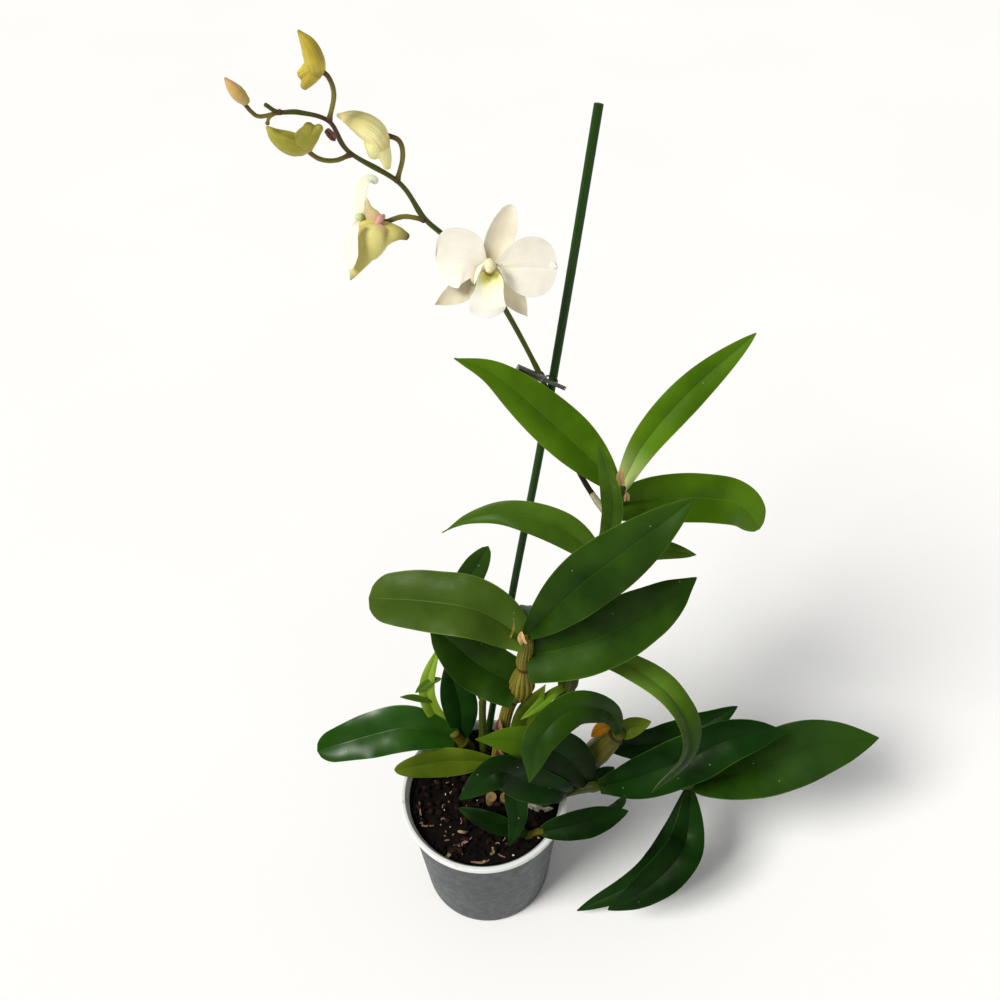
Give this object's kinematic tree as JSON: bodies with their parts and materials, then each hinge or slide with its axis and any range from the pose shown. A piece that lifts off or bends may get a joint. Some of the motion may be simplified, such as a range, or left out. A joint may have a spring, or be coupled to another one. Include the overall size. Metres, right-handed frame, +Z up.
{
  "type": "potted dendrobium orchid",
  "caption": "Potted dendrobium orchid: leafy canes, low shoots and a white flower spike clipped to a green stake, in a plain tapered nursery pot.",
  "frame": {"origin": "middle of the underside of the pot's foot, on the surface the pot stands on", "axes": "+Z up; +X to the right of the plant as it faces the viewer, towards the long low leaves; +Y to the plant's back"},
  "size_m": [0.4125, 0.1885, 0.6164],
  "materials": {
    "pot": "satin moulded plastic with a little dirt",
    "potting_mix": "damp bark and peat, rough",
    "stake": "plastic coating, satin",
    "clip": "moulded plastic, satin",
    "old_cane": "dry ribbed skin with brown streaks",
    "cane": "waxy green skin with pale sheaths",
    "bulb": "waxy yellow-olive skin",
    "dry_husk": "dry papery husk",
    "leaf": "glossy dark green with a paler midrib",
    "fresh_leaf": "glossy light green with a paler midrib",
    "spike": "satin green, purple-brown towards the tip",
    "bud": "satin yellow-green with darker seams",
    "petal": "soft white with faint veins",
    "lip": "soft white and pale yellow-green"
  },
  "bodies": {
    "root": {"pot": "pot", "potting_mix": "potting_mix", "stake": "stake", "clip": "clip", "cane_front": "old_cane", "cane_tall": "cane", "cane_back": "cane", "cane_low": "cane", "cane_small": "cane", "cane_left": "bulb", "cane_bulb": "bulb", "cane_stub_1": "dry_husk", "cane_stub_2": "dry_husk", "torn_sheath_front": "dry_husk", "torn_sheath_tall": "dry_husk", "leaf_tall_arching": "fresh_leaf", "leaf_tall_small": "fresh_leaf", "leaf_left_narrow": "fresh_leaf", "leaf_front_left": "leaf", "leaf_front_right": "leaf", "leaf_front_lower_right": "leaf", "leaf_front_lower_left": "leaf", "leaf_front_back": "leaf", "leaf_tall_left": "leaf", "leaf_tall_right": "leaf", "leaf_tall_drooping": "leaf", "leaf_tall_upright": "leaf", "leaf_tall_lower_left": "leaf", "leaf_tall_lower_right": "leaf", "leaf_tall_base": "leaf", "leaf_left_low": "leaf", "leaf_left_upright": "leaf", "leaf_left_base": "leaf", "leaf_back_left": "leaf", "leaf_bulb_arching": "leaf", "leaf_bulb_back": "leaf", "leaf_bulb_small": "leaf", "leaf_low_middle": "leaf", "leaf_low_far": "leaf", "leaf_low_hanging_back": "leaf", "leaf_low_hanging_front": "leaf", "leaf_base_left": "leaf", "leaf_base_arching": "leaf", "leaf_base_down": "leaf", "leaf_base_small": "leaf", "leaf_base_right": "leaf", "flower_spike": "spike", "bud_top": "bud", "bud_right": "bud", "bud_left": "bud", "bud_small": "bud", "flower_front_petals": "petal", "flower_side_petals": "petal", "flower_front_lip": "lip", "flower_side_lip": "lip"}
  },
  "joints": []
}
